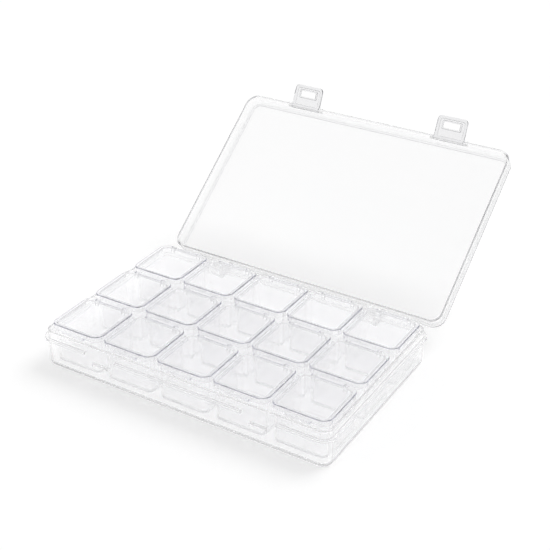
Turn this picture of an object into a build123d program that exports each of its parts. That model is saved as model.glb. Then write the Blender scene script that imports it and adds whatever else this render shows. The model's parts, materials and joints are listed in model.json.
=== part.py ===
from build123d import *
import os

# A clear plastic bead organizer. A shallow case holds rows of small square boxes, and each box has
# its own hinged lid. One large hinged lid closes the case, and two latches hold it shut.
# Units are millimetres. X runs left to right, Y front to back, Z up.
# The origin is the centre of the case's underside.

# Case: the tray, which is as long and as deep as the small boxes need
case_corner = 7.0            # outline radius of the ledge and of the large lid
case_wall = 1.3
case_floor = 1.4
case_edge_radius = 1.6       # round along the underside
floor_fillet = 1.0           # round where the inside walls meet the floor
ledge_reach = 1.8            # how far the ledge stands out from the wall
ledge_thickness = 1.5
ledge_top = 17.0
wall_rise = 4.0              # the wall's height above the ledge
edge_break = 0.3             # small rounds on moulded edges

# Large lid
lid_head_gap = 0.6           # over the small lids when it is closed
lid_wall = 1.3
lid_panel = 1.3
lid_edge_radius = 1.6
lid_seat_gap = 0.2           # rim above the ledge when it is closed
lid_open_angle = 143.0       # opening at rest, on its stop

# Hinges of the large lid
hinge_end_distance = 37.5    # hinge's middle from the end of the ledge
hinge_setback = 4.5          # axis behind the ledge
hinge_drop = 1.5             # axis below the ledge's top
hinge_pin_radius = 0.9
hinge_pin_clearance = 0.06
hinge_pin_length = 1.7
hinge_knuckle_radius = 2.0
hinge_knuckle_length = 8.0
hinge_ear_thickness = 2.0
hinge_ear_foot = 4.0         # height of an ear where it meets the wall
hinge_side_gap = 0.3
hinge_stop_gap = 0.3         # between a knuckle and the shelf that stops it
hinge_stop_thickness = 1.2
hinge_stop_reach = 5.0       # how far the shelf runs behind the axis
arm_lift = 1.4               # the lid's arm starts this far above its rim
arm_height = 3.2

# Latches
latch_end_distance = 39.5    # latch's middle from the end of the ledge
latch_width = 18.6
latch_length = 13.0          # axis to free end
latch_thickness = 1.2
latch_corner = 2.4
latch_border = 1.7           # width of the raised border
latch_border_height = 0.5
latch_window_length = 10.4
latch_window_height = 3.4
latch_window_drop = 7.8      # window's middle, from the axis
latch_barrel_radius = 1.1
latch_pin_radius = 0.55
latch_pin_clearance = 0.06
latch_pin_length = 1.5
latch_side_gap = 0.3
latch_axis_rise = 1.3        # axis above the lid's rim
latch_axis_inset = 0.1       # axis in from the lid's front face
latch_notch_gap = 0.4        # round the barrel
latch_cheek_thickness = 2.2
latch_cheek_radius = 1.25
latch_droop = 28.0           # at rest, below the plane of the large lid
ledge_notch_gap = 0.5        # each side of a folded latch

# Catches on the front wall
catch_gap = 0.5              # inside the latch's window, all round
catch_height = 1.9           # how far a catch stands out from the wall

# Small boxes
columns = 5
rows = 3
box_column_gap = 1.6         # between the small lids of a row
box_row_gap = 1.8            # between a thumb lip and the small lid in front of it
box_end_gap = 0.7            # between the outer small lids and the end walls
box_front_gap = 0.6          # between the thumb lips and the front wall
box_back_gap = 0.7           # between the small lids and the back wall
box_seat_gap = 0.1           # under each box
box_height = 22.9            # underside to the top of its lid
box_wall = 1.0
box_corner = 3.5
box_floor = 1.0
box_edge_radius = 1.2        # round along the underside
box_floor_fillet = 1.2

# Small lids
box_lid_size = 32.2
box_lid_corner = 5.0
box_lid_wall = 1.2
box_lid_panel = 1.0
box_lid_skirt = 3.2          # outer face to skirt's edge
box_lid_gap = 0.3            # between the skirt and the box
box_lid_seat_gap = 0.15      # between the panel and the box's rim
box_lid_edge_radius = 0.7
thumb_lip_width = 14.0
thumb_lip_reach = 1.2
thumb_lip_thickness = 1.1

# Hinge of a small lid
box_knuckle_radius = 1.15
box_knuckle_inset = 0.1      # below the lid's outer face
box_hinge_inset = 0.7        # axis in from the lid's back edge
box_pin_radius = 0.55
box_pin_clearance = 0.06
box_pin_length = 1.5
box_ear_x = 9.0              # each side of the middle
box_ear_thickness = 1.8
box_ear_foot = 3.0           # height of an ear where it meets the box
box_hinge_gap = 0.3

# Worked out from the values above
column_pitch = box_lid_size + box_column_gap
row_pitch = box_lid_size + thumb_lip_reach + box_row_gap
row_shift = (thumb_lip_reach + box_front_gap - box_back_gap) / 2
inner_length = (columns - 1) * column_pitch + box_lid_size + 2 * box_end_gap
inner_depth = (rows - 1) * row_pitch + box_lid_size + thumb_lip_reach + box_front_gap + box_back_gap
wall_length = inner_length + 2 * case_wall
wall_depth = inner_depth + 2 * case_wall
case_length = wall_length + 2 * ledge_reach
case_depth = wall_depth + 2 * ledge_reach
wall_corner = case_corner - ledge_reach
inner_corner = wall_corner - case_wall
ledge_bottom = ledge_top - ledge_thickness
case_rim = ledge_top + wall_rise
wall_front = -wall_depth / 2
wall_back = wall_depth / 2
ledge_front = -case_depth / 2
ledge_back = case_depth / 2

hinge_x = case_length / 2 - hinge_end_distance
latch_x = case_length / 2 - latch_end_distance
lid_rim = ledge_top + lid_seat_gap
hinge_y = ledge_back + hinge_setback
hinge_z = ledge_top - hinge_drop
hinge_axis = Axis((0, hinge_y, hinge_z), (-1, 0, 0))
hinge_bore_radius = hinge_pin_radius + hinge_pin_clearance
hinge_ear_offset = hinge_knuckle_length / 2 + hinge_side_gap + hinge_ear_thickness / 2

latch_z = lid_rim + latch_axis_rise
latch_y = ledge_front + latch_axis_inset
latch_bore_radius = latch_pin_radius + latch_pin_clearance
notch_width = latch_width + 2 * latch_side_gap
ledge_notch_width = latch_width + 2 * ledge_notch_gap

box_lid_half = box_lid_size / 2
box_front_margin = box_lid_wall + box_lid_gap
box_width = box_lid_size - 2 * box_front_margin
box_bottom = case_floor + box_seat_gap
box_lid_top = box_bottom + box_height
lid_height = box_lid_top + lid_head_gap + lid_panel - lid_rim
box_lid_underside = box_lid_top - box_lid_panel
box_rim = box_lid_underside - box_lid_seat_gap
box_axis_y = box_lid_half - box_hinge_inset
box_axis_z = box_lid_top - box_knuckle_inset - box_knuckle_radius
box_front = -box_lid_half + box_front_margin
box_back = box_axis_y - box_knuckle_radius - box_hinge_gap
box_depth = box_back - box_front
box_middle_y = (box_back + box_front) / 2
box_bore_radius = box_pin_radius + box_pin_clearance


def rounded_block(length, depth, height, corner):
    """A block on the XY plane with rounded upright corners."""
    return extrude(RectangleRounded(length, depth, corner), height)


def cylinder_along_x(radius, length, x, y, z):
    """A cylinder along X, with its middle at x, y, z."""
    return Pos(x, y, z) * Rot(0, 90, 0) * Cylinder(radius, length)


def slice_along_x(profile, thickness, x):
    """A profile drawn with Y across and Z up, made into a slice with its middle at x."""
    return extrude(Plane.YZ.offset(x) * profile, thickness / 2, both=True)


def hull_slice(radius, y, z, foot, thickness, x):
    """A slice whose profile runs from a circle at y, z to a list of foot points."""
    circle = Pos(y, z) * Circle(radius)
    points = Polyline(*foot)
    profile = make_hull(circle.edges() + points.edges())
    return slice_along_x(profile, thickness, x)


def hinge_positions():
    """The middles of the two large hinges."""
    return (-hinge_x, hinge_x)


def latch_positions():
    """The middles of the two latches."""
    return (-latch_x, latch_x)


def hinge_bracket(x):
    """Two bored ears behind the case, and the shelf that stops the lid."""
    foot_top = ledge_bottom
    foot_back = wall_back - case_wall / 2
    bracket = None
    for side in (-1, 1):
        ear_x = x + side * hinge_ear_offset
        foot = [(foot_back, foot_top), (foot_back, foot_top - hinge_ear_foot)]
        ear = hull_slice(hinge_knuckle_radius, hinge_y, hinge_z, foot, hinge_ear_thickness, ear_x)
        ear -= cylinder_along_x(hinge_bore_radius, 2 * hinge_ear_thickness, ear_x, hinge_y, hinge_z)
        bracket = ear if bracket is None else bracket + ear
    shelf_top = hinge_z - hinge_knuckle_radius - hinge_stop_gap
    shelf_end = hinge_y + hinge_stop_reach
    shelf_length = shelf_end - foot_back
    shelf_width = 2 * hinge_ear_offset + hinge_ear_thickness
    shelf_middle = Pos(x, foot_back + shelf_length / 2, shelf_top - hinge_stop_thickness / 2)
    bracket += shelf_middle * Box(shelf_width, shelf_length, hinge_stop_thickness)
    return bracket


def front_catch(x):
    """A ramped ridge on the front wall that fits inside a latch's window."""
    length = latch_window_length - 2 * catch_gap
    height = latch_window_height - 2 * catch_gap
    middle = latch_z - latch_window_drop
    root = wall_front + case_wall / 2
    tip = wall_front - catch_height
    top = middle + height / 2
    bottom = middle - height / 2
    profile = Polygon((root, bottom), (wall_front, bottom), (tip, middle), (tip, top), (root, top),
                      align=None)
    return slice_along_x(profile, length, x)


def make_case_base():
    """The tray: floor, wall, ledge, catches and hinge brackets."""
    base = rounded_block(wall_length, wall_depth, case_rim, wall_corner)
    base = fillet(base.faces().sort_by(Axis.Z)[0].edges(), case_edge_radius)
    ledge = rounded_block(case_length, case_depth, ledge_thickness, case_corner)
    flat_faces = ledge.faces().filter_by(Plane.XY)
    ledge = fillet(flat_faces.edges(), edge_break)
    base += Pos(0, 0, ledge_bottom) * ledge
    for x in latch_positions():
        notch_middle = (ledge_front + wall_front) / 2
        notch = Box(ledge_notch_width, ledge_reach, 3 * ledge_thickness)
        base -= Pos(x, notch_middle, (ledge_top + ledge_bottom) / 2) * notch
    for x in latch_positions():
        base += front_catch(x)
    for x in hinge_positions():
        base += hinge_bracket(x)
    hollow = rounded_block(inner_length, inner_depth, case_rim, inner_corner)
    hollow = fillet(hollow.faces().sort_by(Axis.Z)[0].edges(), floor_fillet)
    base -= Pos(0, 0, case_floor) * hollow
    rim_edges = base.faces().sort_by(Axis.Z)[-1].edges()
    return fillet(rim_edges, edge_break)


def lid_arm(x):
    """One knuckle of the large lid, its arm and its two stub pins."""
    arm_bottom = lid_rim + arm_lift
    foot_back = ledge_back
    foot_front = ledge_back - lid_wall / 2
    foot = [(foot_front, arm_bottom), (foot_back, arm_bottom), (foot_back, arm_bottom + arm_height),
            (foot_front, arm_bottom + arm_height)]
    arm = hull_slice(hinge_knuckle_radius, hinge_y, hinge_z, foot, hinge_knuckle_length, x)
    pin_span = hinge_knuckle_length + 2 * (hinge_side_gap + hinge_pin_length)
    return arm + cylinder_along_x(hinge_pin_radius, pin_span, x, hinge_y, hinge_z)


def latch_cheeks(x):
    """Two bored lugs on the lid's front, one at each end of a latch."""
    cheeks = None
    root = ledge_front + lid_wall / 2
    for side in (-1, 1):
        cheek_x = x + side * (notch_width + latch_cheek_thickness) / 2
        foot = [(root, lid_rim), (root, latch_z + latch_cheek_radius + ledge_reach)]
        cheek = hull_slice(latch_cheek_radius, latch_y, latch_z, foot, latch_cheek_thickness, cheek_x)
        cheeks = cheek if cheeks is None else cheeks + cheek
    return cheeks


def make_case_lid():
    """The large lid, built closed and then turned open about its hinge."""
    lid = rounded_block(case_length, case_depth, lid_height, case_corner)
    lid = fillet(lid.faces().sort_by(Axis.Z)[-1].edges(), lid_edge_radius)
    hollow_length = case_length - 2 * lid_wall
    hollow_depth = case_depth - 2 * lid_wall
    hollow = rounded_block(hollow_length, hollow_depth, lid_height - lid_panel, case_corner - lid_wall)
    hollow = fillet(hollow.faces().sort_by(Axis.Z)[-1].edges(), lid_edge_radius / 2)
    lid -= hollow
    lid = Pos(0, 0, lid_rim) * lid
    for x in latch_positions():
        lid += latch_cheeks(x)
    inside = rounded_block(hollow_length, hollow_depth, lid_height / 2, case_corner - lid_wall)
    lid -= Pos(0, 0, lid_rim - lid_height / 4) * inside
    for x in latch_positions():
        notch_top = latch_z + latch_barrel_radius + latch_notch_gap
        notch_depth = 4 * lid_wall
        notch = Box(notch_width, notch_depth, notch_top - lid_rim, align=(Align.CENTER, Align.CENTER, Align.MIN))
        lid -= Pos(x, ledge_front, lid_rim) * notch
        bore_length = notch_width + 2 * (latch_pin_length + latch_pin_clearance)
        lid -= cylinder_along_x(latch_bore_radius, bore_length, x, latch_y, latch_z)
    for x in hinge_positions():
        lid += lid_arm(x)
    return lid.rotate(hinge_axis, lid_open_angle)


def make_latch(x):
    """A latch: barrel, stub pins, and a plate with a window and a raised border."""
    outline = Pos(0, -latch_length / 2) * RectangleRounded(latch_width, latch_length, latch_corner)
    shoulder = Pos(0, -latch_corner) * Rectangle(latch_width, 2 * latch_corner)
    outline += shoulder
    field_width = latch_width - 2 * latch_border
    field_height = latch_length - latch_border
    field = Pos(0, -field_height / 2) * RectangleRounded(field_width, field_height, latch_corner / 2)
    window_middle = Pos(0, -latch_window_drop)
    rim_length = latch_window_length + latch_border
    rim_height = latch_window_height + latch_border
    window_rim = window_middle * RectangleRounded(rim_length, rim_height, latch_border / 2)
    raised = latch_thickness + latch_border_height
    plate = extrude(outline, latch_thickness)
    plate += extrude(outline - field, raised)
    plate += extrude(window_rim, raised)
    window = window_middle * RectangleRounded(latch_window_length, latch_window_height, edge_break)
    plate -= extrude(window, raised, both=True)
    latch = Pos(x, latch_y + latch_thickness / 2, latch_z) * Rot(90, 0, 0) * plate
    latch += cylinder_along_x(latch_barrel_radius, latch_width, x, latch_y, latch_z)
    pin_span = latch_width + 2 * (latch_side_gap + latch_pin_length)
    latch += cylinder_along_x(latch_pin_radius, pin_span, x, latch_y, latch_z)
    latch_axis = Axis((x, latch_y, latch_z), (-1, 0, 0))
    latch = latch.rotate(latch_axis, 90 - latch_droop)
    return latch.rotate(hinge_axis, lid_open_angle)


def make_box():
    """One small box with its two hinge ears, in the middle of the case."""
    height = box_rim - box_bottom
    box = rounded_block(box_width, box_depth, height, box_corner)
    box = fillet(box.faces().sort_by(Axis.Z)[0].edges(), box_edge_radius)
    box = Pos(0, box_middle_y, box_bottom) * box
    foot_y = box_back - box_wall / 2
    foot_top = box_axis_z - box_knuckle_radius / 2
    for side in (-1, 1):
        foot = [(foot_y, foot_top), (foot_y, foot_top - box_ear_foot)]
        ear_x = side * box_ear_x
        box += hull_slice(box_knuckle_radius, box_axis_y, box_axis_z, foot, box_ear_thickness, ear_x)
        box -= cylinder_along_x(box_bore_radius, 2 * box_ear_thickness, ear_x, box_axis_y, box_axis_z)
    hollow_width = box_width - 2 * box_wall
    hollow_depth = box_depth - 2 * box_wall
    hollow = rounded_block(hollow_width, hollow_depth, height, box_corner - box_wall)
    hollow = fillet(hollow.faces().sort_by(Axis.Z)[0].edges(), box_floor_fillet)
    return box - Pos(0, box_middle_y, box_bottom + box_floor) * hollow


def make_box_lid():
    """One small lid: panel, skirt on three sides, thumb lip, and hinge barrel with stub pins."""
    lid = rounded_block(box_lid_size, box_lid_size, box_lid_skirt, box_lid_corner)
    lid = fillet(lid.faces().sort_by(Axis.Z)[-1].edges(), box_lid_edge_radius)
    hollow_size = box_lid_size - 2 * box_lid_wall
    hollow_height = box_lid_skirt - box_lid_panel
    hollow = rounded_block(hollow_size, hollow_size, hollow_height, box_lid_corner - box_lid_wall)
    lid -= hollow
    lip_middle = Pos(0, -box_lid_half, thumb_lip_thickness / 2)
    lip_depth = 2 * thumb_lip_reach
    lid += lip_middle * Box(thumb_lip_width, lip_depth, thumb_lip_thickness)
    skirt_end = box_lid_half - box_lid_corner
    back_cut = Box(box_lid_size, box_lid_corner, hollow_height, align=(Align.CENTER, Align.MIN, Align.MIN))
    lid -= Pos(0, skirt_end, 0) * back_cut
    lid = Pos(0, 0, box_lid_top - box_lid_skirt) * lid
    barrel_half = box_ear_x - box_ear_thickness / 2 - box_hinge_gap
    lid += cylinder_along_x(box_knuckle_radius, 2 * barrel_half, 0, box_axis_y, box_axis_z)
    notch_front = box_axis_y - box_knuckle_radius - box_hinge_gap
    notch_depth = box_lid_half - notch_front
    notch_size = box_ear_thickness + 2 * box_hinge_gap
    notch = Box(notch_size, 2 * notch_depth, 4 * box_lid_panel)
    for side in (-1, 1):
        lid -= Pos(side * box_ear_x, notch_front + notch_depth, box_lid_top) * notch
    pin_span = 2 * (barrel_half + box_hinge_gap + box_pin_length)
    return lid + cylinder_along_x(box_pin_radius, pin_span, 0, box_axis_y, box_axis_z)


def grid_place(row, column):
    """Where a small box stands: rows run front to back, columns left to right."""
    x = (column - (columns - 1) / 2) * column_pitch
    y = (row - (rows - 1) / 2) * row_pitch + row_shift
    return Pos(x, y, 0)


def make_parts():
    """Every piece of the organizer, by name."""
    parts = {
        "case_base": make_case_base(),
        "case_lid": make_case_lid(),
        "latch_left": make_latch(-latch_x),
        "latch_right": make_latch(latch_x),
    }
    box = make_box()
    box_lid = make_box_lid()
    row_names = ("front", "middle", "back")
    for row in range(rows):
        for column in range(columns):
            name = f"{row_names[row]}_{column + 1}"
            place = grid_place(row, column)
            parts[f"box_{name}"] = place * box
            parts[f"box_lid_{name}"] = place * box_lid
    return parts


os.makedirs("parts", exist_ok=True)
for name, shape in make_parts().items():
    export_step(shape, f"parts/{name}.step")
    print(name, len(shape.solids()), round(shape.volume))
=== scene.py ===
# %% [markdown]
# # A clear bead organizer
# The organizer is a shallow tray of clear plastic with fifteen small boxes in it, each with its own
# hinged lid, and one large lid over all of them. The solids come from the imported frame, in metres.
# The first cell loads them.

# %% Load the frame
import json
import math

import bmesh
import bpy
from mathutils import Matrix, Vector

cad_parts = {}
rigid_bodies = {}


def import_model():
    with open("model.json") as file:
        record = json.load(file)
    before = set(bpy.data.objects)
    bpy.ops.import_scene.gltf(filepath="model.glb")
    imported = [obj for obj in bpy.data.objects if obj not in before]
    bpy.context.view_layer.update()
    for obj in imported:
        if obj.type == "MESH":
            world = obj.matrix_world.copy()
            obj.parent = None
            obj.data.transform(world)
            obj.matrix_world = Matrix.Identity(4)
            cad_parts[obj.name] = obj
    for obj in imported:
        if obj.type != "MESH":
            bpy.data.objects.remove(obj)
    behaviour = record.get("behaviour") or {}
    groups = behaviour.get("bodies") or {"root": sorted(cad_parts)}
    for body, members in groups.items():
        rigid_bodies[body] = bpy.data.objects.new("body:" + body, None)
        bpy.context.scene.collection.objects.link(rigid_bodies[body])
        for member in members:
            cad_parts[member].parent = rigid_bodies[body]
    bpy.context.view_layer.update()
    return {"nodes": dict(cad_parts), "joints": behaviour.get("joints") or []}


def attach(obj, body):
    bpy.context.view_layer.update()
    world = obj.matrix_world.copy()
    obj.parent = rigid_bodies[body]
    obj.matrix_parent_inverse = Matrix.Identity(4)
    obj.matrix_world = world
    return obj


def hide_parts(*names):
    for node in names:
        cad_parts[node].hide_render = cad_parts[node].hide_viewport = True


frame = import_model()
nodes = frame["nodes"]
hinges = {joint["name"]: joint for joint in frame["joints"] if joint["type"] == "hinge"}
print(len(nodes), "solids,", len(hinges), "hinges")

# %% [markdown]
# ## Ripple and scuffs
# Moulded plastic is never quite smooth. The mould leaves slow waves, as long as a finger is wide,
# that bend the reflections, and handling leaves scuffs finer than half a millimetre that make the
# gloss uneven. An image could hold both, but noise textures on the object's own coordinates need no
# unwrapping and move with the piece. The waves go into a bump, and the scuffs into the roughness.

# %% Two noises for every piece
RIPPLE_SCALE, RIPPLE_DETAIL = 70.0, 1.0
RIPPLE_STRENGTH, RIPPLE_DEPTH = 0.05, 0.0004
SCUFF_SCALE, SCUFF_DETAIL = 2600.0, 3.0
SCUFF_FROM, SCUFF_TO = 0.35, 0.75
SMOOTHEST = 0.75


def noise_on(tree, scale, detail):
    """A noise texture laid on the object's own coordinates, so that it moves with the piece."""
    place = tree.nodes.new("ShaderNodeTexCoord")
    noise = tree.nodes.new("ShaderNodeTexNoise")
    noise.inputs["Scale"].default_value = scale
    noise.inputs["Detail"].default_value = detail
    tree.links.new(place.outputs["Object"], noise.inputs["Vector"])
    return noise.outputs["Fac"]


def ripple(tree):
    """The normals of the slow waves that the mould leaves."""
    bump = tree.nodes.new("ShaderNodeBump")
    bump.inputs["Strength"].default_value = RIPPLE_STRENGTH
    bump.inputs["Distance"].default_value = RIPPLE_DEPTH
    tree.links.new(noise_on(tree, RIPPLE_SCALE, RIPPLE_DETAIL), bump.inputs["Height"])
    return bump.outputs["Normal"]


def scuffs(tree, haze):
    """A roughness that goes from the haze at a scuff down to three quarters of it beside one."""
    spread = tree.nodes.new("ShaderNodeMapRange")
    spread.inputs["From Min"].default_value = SCUFF_FROM
    spread.inputs["From Max"].default_value = SCUFF_TO
    spread.inputs["To Min"].default_value = haze * SMOOTHEST
    spread.inputs["To Max"].default_value = haze
    tree.links.new(noise_on(tree, SCUFF_SCALE, SCUFF_DETAIL), spread.inputs["Value"])
    return spread.outputs["Result"]


print("waves of", round(1000 / RIPPLE_SCALE), "mm, scuffs of", round(1000 / SCUFF_SCALE, 1), "mm")

# %% [markdown]
# ## Clear moulded plastic
# The trays and lids are crystal polystyrene: clear all through, with the gloss of a polished mould,
# and faintly grey where one looks along a wall instead of through it. A plain glass shader with a
# tint is the short way, but its tint ignores how thick the piece is. Here the grey has two parts.
# Each face takes a percent or two of the light that crosses it, so that many walls behind one
# another add up to a soft grey, and the volume absorbs the rest, so that long thin edges draw
# themselves as lines.

# %% A function for clear plastic
POLYSTYRENE_IOR = 1.58


def clear_plastic(name, face, tint, density, haze):
    """Clear plastic: a slight tint at each face, grey by depth, ripple and scuffs."""
    material = bpy.data.materials.new(name)
    material.use_nodes = True
    tree = material.node_tree
    surface = tree.nodes["Principled BSDF"]
    surface.inputs["Base Color"].default_value = (*face, 1.0)
    surface.inputs["Transmission Weight"].default_value = 1.0
    surface.inputs["IOR"].default_value = POLYSTYRENE_IOR
    inside = tree.nodes.new("ShaderNodeVolumeAbsorption")
    inside.inputs["Color"].default_value = (*tint, 1.0)
    inside.inputs["Density"].default_value = density
    tree.links.new(inside.outputs["Volume"], tree.nodes["Material Output"].inputs["Volume"])
    tree.links.new(ripple(tree), surface.inputs["Normal"])
    tree.links.new(scuffs(tree, haze), surface.inputs["Roughness"])
    print(name, "density", density, "haze", haze)
    return material


def give(name, plastic):
    """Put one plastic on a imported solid, in place of its plain one."""
    nodes[name].data.materials.clear()
    nodes[name].data.materials.append(plastic)


print("index of refraction", POLYSTYRENE_IOR)

# %% [markdown]
# ## The tray
# The tray is one moulding: floor, walls, a ledge all round, catches for the latches and the ears of
# the hinge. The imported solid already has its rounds, so it keeps its mesh and only gets its
# plastic: nearly colourless, with a haze that softens the boxes seen through its wall.

# %% Plastic for the tray
tray_plastic = clear_plastic("case_clear", face=(0.972, 0.972, 0.973), tint=(0.60, 0.60, 0.61),
                             density=2.0, haze=0.20)
give("case_base", tray_plastic)

# %% [markdown]
# ## The large lid
# The large lid is a flat panel with a skirt as deep as a finger is thick. It is one moulding too
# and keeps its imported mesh. Its haze is a little less than the tray's, and its volume a little
# greyer, so that the skirt's edges stay soft light lines.

# %% Plastic for the large lid
lid_plastic = clear_plastic("lid_clear", face=(0.974, 0.974, 0.976), tint=(0.60, 0.60, 0.62),
                            density=4.0, haze=0.16)
give("case_lid", lid_plastic)

# %% [markdown]
# ## The bead of the large lid
# Inside the lid, a thin bead runs round the panel where it meets the skirt. It stiffens the corner,
# and it draws the second outline that one sees inside the first. A swept profile could make it, but
# a curve with a round section is the short way: one closed line with rounded corners, drawn as if
# the lid were shut and then swung open about the hinge, as the lid itself is. It lies just clear of
# the panel, because two glass volumes that overlap bend the light wrongly where they meet. Its
# plastic is hazier than the panel's, so that its line is soft. It is also much greyer, and that grey
# is painted shade: it darkens the line that light bent at the lid's inner corner draws there.

# %% The line of the bead
LID_HALF_LENGTH, LID_HALF_DEPTH, LID_CORNER = 0.0875, 0.05565, 0.0070
BEAD_INSET, BEAD_HEIGHT, BEAD_RADIUS = 0.0024, 0.0242, 0.0007
CORNER_STEPS = 8
QUARTER_TURN = 90


def rounded_outline(half_length, half_depth, corner):
    """Points round a rectangle with rounded corners, about its middle."""
    points = []
    for quarter, (x_side, y_side) in enumerate(((1, 1), (-1, 1), (-1, -1), (1, -1))):
        for step in range(CORNER_STEPS + 1):
            angle = math.radians(quarter * QUARTER_TURN + QUARTER_TURN * step / CORNER_STEPS)
            points.append((x_side * (half_length - corner) + corner * math.cos(angle),
                           y_side * (half_depth - corner) + corner * math.sin(angle)))
    return points


def swung_open(point):
    """Where a point of the shut lid is once the lid is open."""
    pin = Vector(hinges["case_lid_hinge"]["pos_m"])
    swing = Matrix.Rotation(math.radians(hinges["case_lid_hinge"]["range_deg"][0]), 4, "X")
    return pin + swing @ (point - pin)


bead_line = [swung_open(Vector((x, y, BEAD_HEIGHT))) for x, y in rounded_outline(
    LID_HALF_LENGTH - BEAD_INSET, LID_HALF_DEPTH - BEAD_INSET, LID_CORNER - BEAD_INSET)]
print("bead line of", len(bead_line), "points")

# %% Draw the bead
BEAD_RESOLUTION = 3
# painted shade: the bead's grey faces and dense volume darken the line at the lid's inner corner
bead_painted_shade_plastic = clear_plastic("bead_clear_painted_shade", face=(0.940, 0.940, 0.943), tint=(0.60, 0.60, 0.62),
                             density=120.0, haze=0.30)


def lid_bead():
    """The bead inside the large lid, as a mesh that swings with the lid."""
    curve = bpy.data.curves.new("lid_bead_line", "CURVE")
    curve.dimensions = "3D"
    curve.bevel_depth = BEAD_RADIUS
    curve.bevel_resolution = BEAD_RESOLUTION
    spline = curve.splines.new("POLY")
    spline.points.add(len(bead_line) - 1)
    for point, place in zip(spline.points, bead_line):
        point.co = (*place, 1.0)
    spline.use_cyclic_u = True
    drawn = bpy.data.objects.new("lid_bead_line", curve)
    bead = bpy.data.objects.new("lid_bead", bpy.data.meshes.new_from_object(drawn))
    bpy.data.objects.remove(drawn)
    bpy.context.scene.collection.objects.link(bead)
    bead.data.materials.clear()
    bead.data.materials.append(bead_painted_shade_plastic)
    bead.data.shade_smooth()
    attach(bead, "case_lid")
    return bead


print("bead", len(lid_bead().data.polygons), "faces")

# %% [markdown]
# ## Rounded edges for latches and boxes
# A mould leaves no razor edges. Every rim, rib and lug comes out with a small round, and on a small
# clear piece those rounds are most of what one sees: each shows as a bright line beside a dark
# one. One could rebuild the pieces by hand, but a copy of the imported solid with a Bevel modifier
# keeps every other size. Edges beside a hinge pin stay as they are, because pins and ears have to
# fit. All the hinges turn about axes along x, so the distance to an axis is measured across it.

# %% Which edges lie at a hinge
HINGE_ZONE = 0.0032


def hinge_points(body):
    """A point on the axis of each hinge that a body takes part in."""
    return [Vector(hinge["pos_m"]) for hinge in hinges.values()
            if body in (hinge["parent"], hinge["child"])]


def at_a_hinge(edge, points):
    """Whether an edge starts or ends so near to an axis that it belongs to the pins and ears."""
    return any(math.hypot(corner.co.y - point.y, corner.co.z - point.z) < HINGE_ZONE
               for corner in edge.verts for point in points)


print("a latch takes part in", len(hinge_points("latch_left")), "hinge")

# %% [markdown]
# ## A mesh ready for its rounds
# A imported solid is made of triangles. Its flat faces are joined first, so that the bevel meets no
# stray edges in them. Then each sharp edge away from a hinge gets a bevel weight. Weights are used
# instead of an angle limit because they leave out single edges, such as those of the pins.

# %% Mark the edges that a mould rounds
WELD = 1e-6
FLAT, SHARP = math.radians(0.5), math.radians(55)


def marked_mesh(name):
    """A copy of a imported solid's mesh with its faces joined and its sharp edges weighted."""
    shape = bmesh.new()
    shape.from_mesh(nodes[name].data)
    bmesh.ops.remove_doubles(shape, verts=shape.verts, dist=WELD)
    bmesh.ops.dissolve_limit(shape, angle_limit=FLAT, verts=shape.verts, edges=shape.edges)
    points = hinge_points(name)
    weight = shape.edges.layers.float.new("bevel_weight_edge")
    for edge in shape.edges:
        edge.smooth = edge.calc_face_angle() < SHARP
        if not edge.smooth and not at_a_hinge(edge, points):
            edge[weight] = 1.0
            edge.smooth = True
    for face in shape.faces:
        face.smooth = True
    mesh = bpy.data.meshes.new(name + "_moulded")
    shape.to_mesh(mesh)
    shape.free()
    mesh.attributes.remove(mesh.attributes["custom_normal"])
    return mesh


print("sharp from", round(math.degrees(SHARP)), "degrees")

# %% [markdown]
# ## The moulded piece
# A Bevel modifier rounds the weighted edges, and a Weighted Normal modifier keeps the flats flat
# beside them. The new piece rides on the same body as the solid and is shown in its place.

# %% A function for a moulded piece
ROUND_SEGMENTS = 3
FACE_WEIGHT = 100


def moulded(name, plastic, edge_round):
    """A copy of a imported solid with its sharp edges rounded, shown in the solid's place."""
    mesh = marked_mesh(name)
    mesh.materials.clear()
    mesh.materials.append(plastic)
    piece = bpy.data.objects.new(name + "_moulded", mesh)
    bpy.context.scene.collection.objects.link(piece)
    bevel = piece.modifiers.new("rounds", "BEVEL")
    bevel.limit_method = "WEIGHT"
    bevel.width = edge_round
    bevel.segments = ROUND_SEGMENTS
    bevel.use_clamp_overlap = False
    normals = piece.modifiers.new("normals", "WEIGHTED_NORMAL")
    normals.weight = FACE_WEIGHT
    normals.keep_sharp = True
    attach(piece, name)
    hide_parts(name)
    return piece


print("rounds of", ROUND_SEGMENTS, "segments")

# %% [markdown]
# ## The latches
# Each latch is a plate with a window, a raised border round it and a barrel that snaps between two
# cheeks of the lid. It is the thickest plastic for its size, so it looks the greyest: the volume
# absorbs far more here than in the panels, and the rounded border stands out from the plate.

# %% Mould the latches
LATCH_ROUND = 0.0003
latch_plastic = clear_plastic("latch_clear", face=(0.950, 0.950, 0.955), tint=(0.60, 0.60, 0.62),
                              density=150.0, haze=0.06)
for side in ("left", "right"):
    latch = moulded("latch_" + side, latch_plastic, LATCH_ROUND)
    print(latch.name, len(latch.data.polygons), "faces before its rounds")

# %% [markdown]
# ## The small boxes
# The fifteen boxes are of a slightly milkier plastic with a trace of violet. One sees three or four
# of their walls behind one another. With clear walls that would be a tangle of lines, so the haze
# is strong: near edges stay sharp, and what lies behind them melts into soft grey.

# %% Mould the small boxes
COLUMNS = range(1, 6)
ROWS = ("front", "middle", "back")
BOX_ROUND = 0.00025
box_plastic = clear_plastic("box_clear", face=(0.988, 0.988, 0.990), tint=(0.60, 0.61, 0.66),
                            density=2.0, haze=0.20)
for row in ROWS:
    for column in COLUMNS:
        moulded(f"box_{row}_{column}", box_plastic, BOX_ROUND)
print(len(ROWS) * len(COLUMNS), "boxes")

# %% [markdown]
# ## The small lids
# The small lids are the crispest pieces: square caps with a thin skirt, whose edges show as fine
# dark lines with the same trace of violet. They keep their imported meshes, sharp skirt and all,
# and get a plastic that is clear across the top and absorbs strongly along the skirt.

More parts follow.
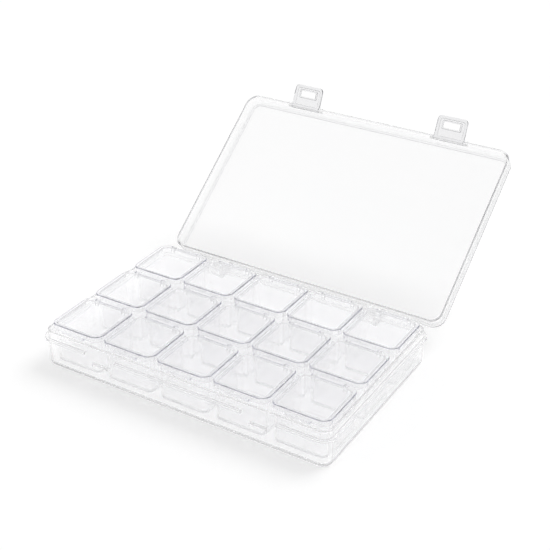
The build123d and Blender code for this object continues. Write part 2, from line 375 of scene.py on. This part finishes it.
# %% Plastic for the small lids
box_lid_plastic = clear_plastic("box_lid_clear", face=(0.988, 0.988, 0.990),
                                tint=(0.56, 0.56, 0.66), density=40.0, haze=0.04)
for row in ROWS:
    for column in COLUMNS:
        give(f"box_lid_{row}_{column}", box_lid_plastic)
print(len(ROWS) * len(COLUMNS), "small lids")

# %% [markdown]
# ## Camera
# A long lens from the front and the right, thirty degrees above the table, keeps the rows nearly
# parallel and still shows into the small boxes. The camera stands on a line from the point that it
# looks at, given by a turn, a height and a distance, which is easier to change than its place.

# %% Place the camera
TURN, HEIGHT, DISTANCE = math.radians(31.41), math.radians(30.0), 0.67293
AIM = Vector((-0.01976, 0.07193, 0.012))
SENSOR_WIDTH, NEAREST = 36.0, 0.01
FOCAL_PIXELS, RENDER_PIXELS = 1149.84, 550
camera = bpy.data.objects.new("camera", bpy.data.cameras.new("camera"))
bpy.context.scene.collection.objects.link(camera)
toward = Vector((math.sin(TURN) * math.cos(HEIGHT), -math.cos(TURN) * math.cos(HEIGHT),
                 math.sin(HEIGHT)))
camera.location = AIM + toward * DISTANCE
camera.rotation_euler = (-toward).to_track_quat("-Z", "Y").to_euler()
camera.data.sensor_width = SENSOR_WIDTH
camera.data.lens = SENSOR_WIDTH * FOCAL_PIXELS / RENDER_PIXELS
camera.data.clip_start = NEAREST
bpy.context.scene.camera = camera
print("lens", round(camera.data.lens, 1), "mm")

# %% [markdown]
# ## The table
# Clear plastic has almost no colour of its own: it shows what stands round it. The table is painted
# white and takes the shadow, and a share of glow, for rays that come from the camera or through
# the plastic, lifts it to full white. In mirror reflections the glow is weaker. This is painted
# shade: the walls mirror a greyer table than one sees. A ray that has crossed four faces or more
# gets half as much again. This is painted light: it lifts the shadow under the case, so that the
# shadow does not make the boxes look dirty. A brighter lamp would whiten the table too, but it
# would also bleach the plastic. The table is so wide that its far edge stays out of sight in low
# views.

# %% How much the table glows for a ray
TABLE_GLOW, MIRRORED_GLOW = 0.26, 0.6
DEEP_FROM, DEEP_LIFT = 3.5, 0.55


def math_node(tree, operation, first, second):
    """A math node of one operation, with a link or a number at each input."""
    node = tree.nodes.new("ShaderNodeMath")
    node.operation = operation
    for socket, value in zip(node.inputs, (first, second)):
        if isinstance(value, float):
            socket.default_value = value
        else:
            tree.links.new(value, socket)
    return node.outputs[0]


def glow_level(tree):
    """The table's glow for a ray: none for the light that falls on the object."""
    ray = tree.nodes.new("ShaderNodeLightPath").outputs
    # painted shade: mirror reflections see less glow than the camera does
    mirrored = math_node(tree, "MULTIPLY", ray["Is Glossy Ray"], MIRRORED_GLOW)
    seen = math_node(tree, "MAXIMUM", ray["Is Camera Ray"], mirrored)
    seen = math_node(tree, "MAXIMUM", seen, ray["Is Transmission Ray"])
    # painted light: rays through four faces or more see more glow, which lifts the shadow under the
    # case
    deep = math_node(tree, "GREATER_THAN", ray["Transmission Depth"], DEEP_FROM)
    lift = math_node(tree, "ADD", math_node(tree, "MULTIPLY", deep, DEEP_LIFT), 1.0)
    return math_node(tree, "MULTIPLY", math_node(tree, "MULTIPLY", seen, TABLE_GLOW), lift)


print("glow", TABLE_GLOW, "and", round(TABLE_GLOW * (1 + DEEP_LIFT), 2), "through many faces")

# %% A white table
TABLE_SIZE, TABLE_DROP, TABLE_PAINT = 40.0, 0.0002, 0.85


def table_white():
    """White paint with a share of glow."""
    material = bpy.data.materials.new("table_white")
    material.use_nodes = True
    tree = material.node_tree
    tree.nodes.clear()
    out = tree.nodes.new("ShaderNodeOutputMaterial")
    paint = tree.nodes.new("ShaderNodeBsdfDiffuse")
    paint.inputs["Color"].default_value = (TABLE_PAINT, TABLE_PAINT, TABLE_PAINT, 1.0)
    glow = tree.nodes.new("ShaderNodeEmission")
    tree.links.new(glow_level(tree), glow.inputs["Strength"])
    both = tree.nodes.new("ShaderNodeAddShader")
    tree.links.new(paint.outputs[0], both.inputs[0])
    tree.links.new(glow.outputs[0], both.inputs[1])
    tree.links.new(both.outputs[0], out.inputs["Surface"])
    return material


bpy.ops.mesh.primitive_plane_add(size=TABLE_SIZE, location=(0, 0, -TABLE_DROP))
table = bpy.context.object
table.name = "table"
table.data.materials.append(table_white())
print("table", tuple(round(v, 2) for v in table.dimensions))

# %% [markdown]
# ## The sky
# The sky is bright above the table's rim, a little greyer overhead and at the horizon, and dim on
# the camera's side, like a light tent that one looks into through its open front. Those greys are
# what draws the edges of the plastic. Panels with lamps behind them could do the same, but a sky
# made of two gradients has no edges of its own that would show in the walls.

# %% Two gradients for the sky
SKY_LEVELS = ((0.10, 0.60), (0.45, 1.0), (1.0, 0.74))
OPEN_SIDE = (0.45, -0.75, 0.48)
OPEN_FROM, OPEN_TO, OPEN_LEVEL = 0.25, 0.90, 0.55


def level_by_height(tree, direction):
    """Grey at the horizon, white above it and a little grey overhead."""
    axes = tree.nodes.new("ShaderNodeSeparateXYZ")
    tree.links.new(direction, axes.inputs["Vector"])
    by_height = tree.nodes.new("ShaderNodeValToRGB")
    levels = by_height.color_ramp.elements
    while len(levels) < len(SKY_LEVELS):
        levels.new(SKY_LEVELS[1][0])
    for element, (height, level) in zip(levels, SKY_LEVELS):
        element.position = height
        element.color = (level, level, level, 1.0)
    tree.links.new(axes.outputs["Z"], by_height.inputs["Fac"])
    return by_height.outputs["Color"]


def level_by_side(tree, direction):
    """Full level all round, but dim towards the open side."""
    side = tree.nodes.new("ShaderNodeVectorMath")
    side.operation = "DOT_PRODUCT"
    side.inputs[1].default_value = OPEN_SIDE
    tree.links.new(direction, side.inputs[0])
    opening = tree.nodes.new("ShaderNodeMapRange")
    opening.interpolation_type = "SMOOTHSTEP"
    opening.inputs["From Min"].default_value = OPEN_FROM
    opening.inputs["From Max"].default_value = OPEN_TO
    opening.inputs["To Min"].default_value = 1.0
    opening.inputs["To Max"].default_value = OPEN_LEVEL
    tree.links.new(side.outputs["Value"], opening.inputs["Value"])
    return opening.outputs["Result"]


print("sky from", round(min(level for _, level in SKY_LEVELS) * OPEN_LEVEL, 2), "to 1")

# %% Hang the sky
SKY_STRENGTH = 1.0
sky = bpy.data.worlds.new("light_tent")
bpy.context.scene.world = sky
sky.use_nodes = True
direction = sky.node_tree.nodes.new("ShaderNodeTexCoord").outputs["Generated"]
sky_level = math_node(sky.node_tree, "MULTIPLY", level_by_height(sky.node_tree, direction),
                      level_by_side(sky.node_tree, direction))
background = sky.node_tree.nodes["Background"]
background.inputs["Strength"].default_value = SKY_STRENGTH
sky.node_tree.links.new(sky_level, background.inputs["Color"])
print("sky", sky.name)

# %% [markdown]
# ## One lamp for the shadow
# A soft lamp high behind the case sets it down on the table. A Sun with a wide angle lights the
# table evenly out to its edge, which a near area lamp does not. With multiple importance sampling,
# as lamps have it by default, light that passes the clear walls by chance washes the shadow out. It
# is off here, so the walls stop this lamp's light, and a short soft shadow lies along the front.

# %% One soft lamp
LAMP_PLACE = (0.32, 0.68, 0.94)
LAMP_ANGLE, LAMP_STRENGTH = math.radians(37), 0.72
lamp = bpy.data.objects.new("window", bpy.data.lights.new("window", "SUN"))
bpy.context.scene.collection.objects.link(lamp)
lamp.data.angle = LAMP_ANGLE
lamp.data.energy = LAMP_STRENGTH
lamp.data.cycles.use_multiple_importance_sampling = False
lamp.location = LAMP_PLACE
lamp.rotation_euler = (-lamp.location).to_track_quat("-Z", "Y").to_euler()
print("lamp", round(lamp.data.energy, 2), "W per square metre")

# %% [markdown]
# ## Depth of the light paths
# A ray that crosses the organizer passes dozens of clear walls, so it is allowed many more bounces
# than usual. With too few of them, the stacked boxes fill up with black. Filter Glossy is off,
# because it makes every wall behind a hazy one rougher than it is and loses light there.

# %% Bounces and colour
PATH_BOUNCES, SEE_THROUGH_BOUNCES = 96, 32
scene = bpy.context.scene
scene.cycles.max_bounces = PATH_BOUNCES
scene.cycles.transmission_bounces = PATH_BOUNCES
scene.cycles.glossy_bounces = PATH_BOUNCES
scene.cycles.transparent_max_bounces = SEE_THROUGH_BOUNCES
scene.cycles.blur_glossy = 0.0
scene.view_settings.view_transform = "Standard"
print("bounces", scene.cycles.max_bounces)
